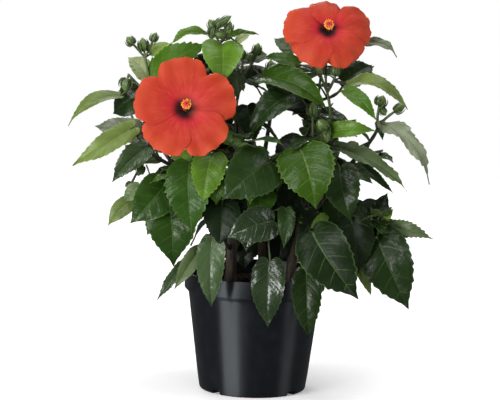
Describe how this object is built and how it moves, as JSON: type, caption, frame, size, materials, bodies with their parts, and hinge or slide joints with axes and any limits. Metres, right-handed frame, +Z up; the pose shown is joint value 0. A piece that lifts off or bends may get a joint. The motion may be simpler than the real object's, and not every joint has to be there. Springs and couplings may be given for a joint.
{
  "type": "hibiscus shrub with pot",
  "caption": "Low leafy hibiscus shrub with two open red blooms and many buds, growing on three stems in a round black nursery pot.",
  "frame": {"origin": "centre of the pot's flat underside, on the ground", "axes": "+Z up, -Y towards the front of the plant, where both blooms face, +X to the right seen from the front"},
  "size_m": [0.3335, 0.242, 0.3637],
  "materials": {
    "pot_plastic": "black moulded plastic with a soft sheen",
    "soil_peat": "dark crumbly peat",
    "bark": "brown bark, greener on the boughs",
    "foliage": "glossy toothed leaves and green buds",
    "petals": "thin satin petals, orange red with a dark throat"
  },
  "bodies": {
    "root": {"pot": "pot_plastic", "soil": "soil_peat", "trunk_left": "bark", "trunk_middle": "bark", "trunk_right": "bark", "bough_left_low": "bark", "bough_left_up": "bark", "bough_left_top": "bark", "bough_left_back": "bark", "bough_front_left": "bark", "bough_middle_front": "bark", "bough_middle_up": "bark", "bough_back_left": "bark", "bough_back_right": "bark", "bough_back_low": "bark", "bough_back_top": "bark", "bough_right_main": "bark", "bough_right_inner": "bark", "bough_right_outer": "bark", "bough_right_back": "bark", "bough_right_low": "bark", "bough_front_right": "bark", "bloom_left": "petals", "bloom_right": "petals", "leaves_upper_left": "foliage", "leaves_left_outer": "foliage", "leaves_left_low": "foliage", "leaves_top_left": "foliage", "leaves_centre": "foliage", "leaves_centre_right": "foliage", "leaves_right_top": "foliage", "leaves_right_outer": "foliage", "leaves_right_low": "foliage", "leaves_front_left": "foliage", "leaves_front_middle": "foliage", "leaves_front_right": "foliage", "leaves_left_back": "foliage", "leaves_back_left": "foliage", "leaves_back_right": "foliage", "leaves_back_low": "foliage", "leaves_back_top": "foliage", "leaves_right_back": "foliage"}
  },
  "joints": []
}
